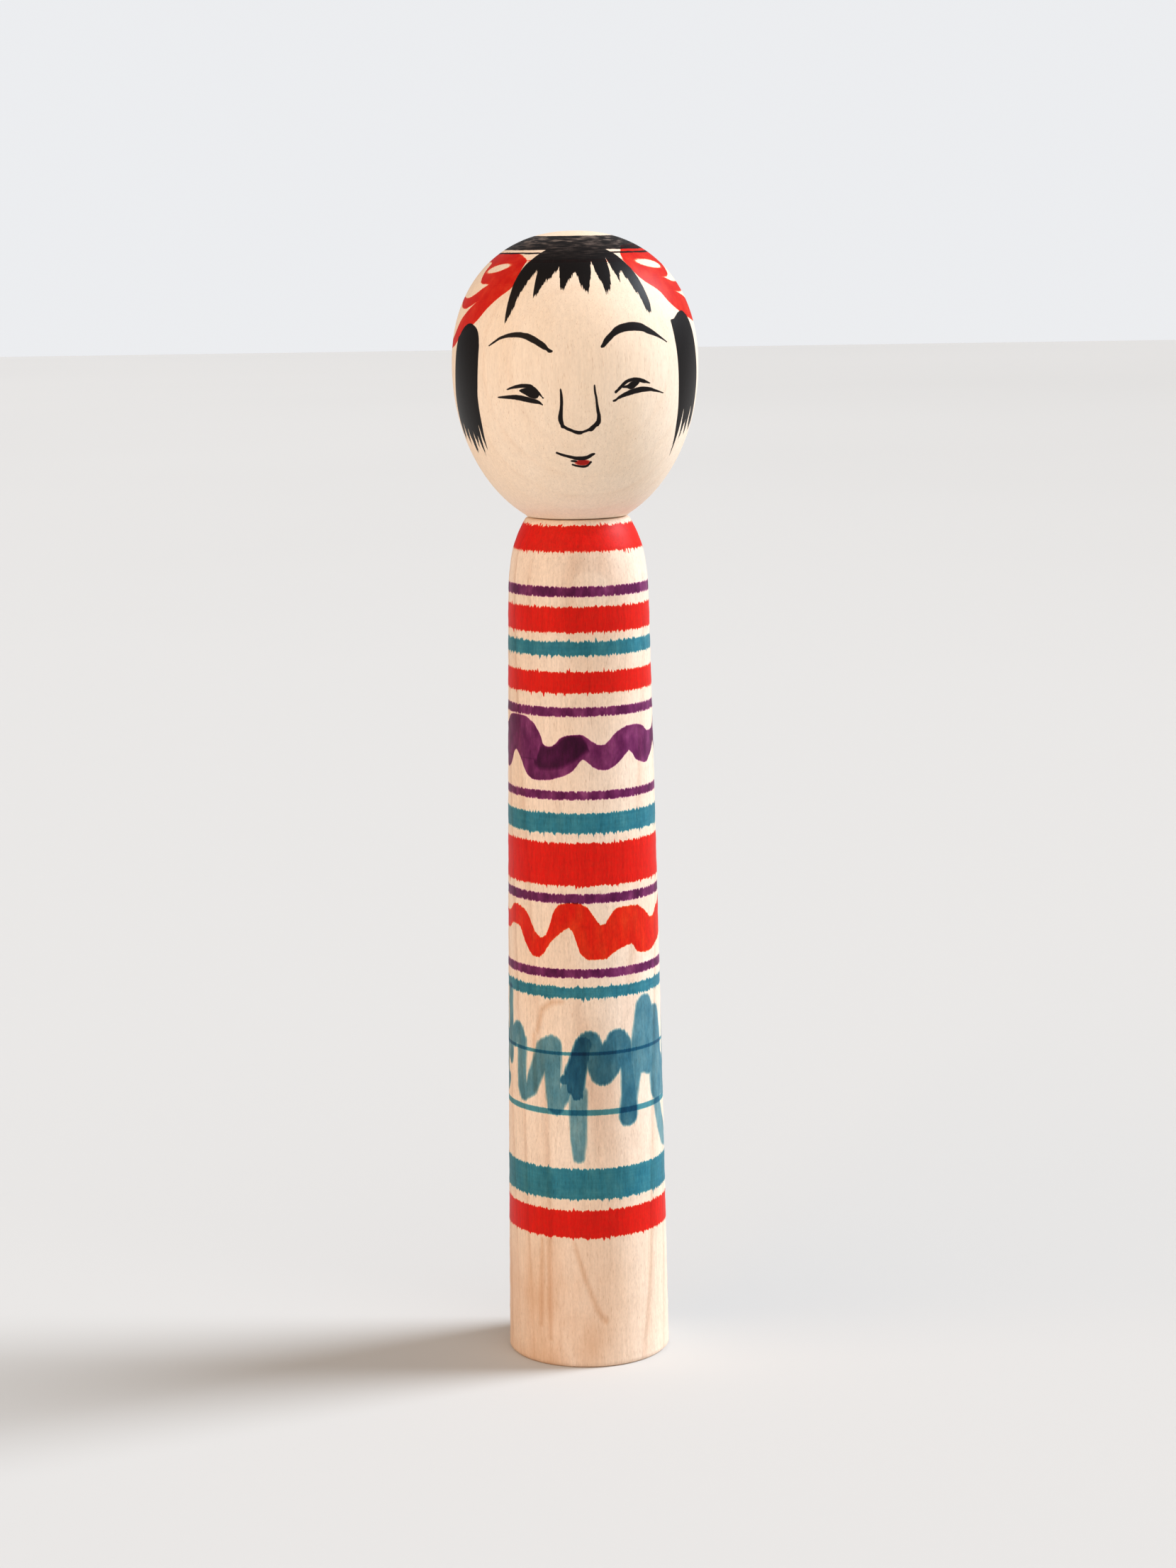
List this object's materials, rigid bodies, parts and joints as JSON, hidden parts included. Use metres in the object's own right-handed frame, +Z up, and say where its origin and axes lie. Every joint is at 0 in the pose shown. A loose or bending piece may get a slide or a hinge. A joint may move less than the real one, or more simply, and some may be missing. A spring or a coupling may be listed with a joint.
{
  "type": "kokeshi doll",
  "caption": "Lathe-turned wooden doll with a slim tapered body and a round head that turns on an integral neck tenon.",
  "frame": {"origin": "centre of the flat base, on the surface that the doll stands on", "axes": "+Z up the turning axis to the crown, -Y the way the painted face looks, +X to the viewer's right when facing the doll"},
  "size_m": [0.0518, 0.0518, 0.2427],
  "materials": {
    "body_wood": "pale close-grained wood, painted on the lathe with rings and waves and polished with wax",
    "head_wood": "pale close-grained wood, with brushed ink and red dye under a wax polish"
  },
  "bodies": {
    "body": {"body": "body_wood"},
    "head": {"head": "head_wood"}
  },
  "joints": [
    {"name": "head_turn", "type": "hinge", "parent": "body", "child": "head", "pos_m": [0, 0, 0.1832], "axis": [0, 0, 1], "continuous": true}
  ]
}
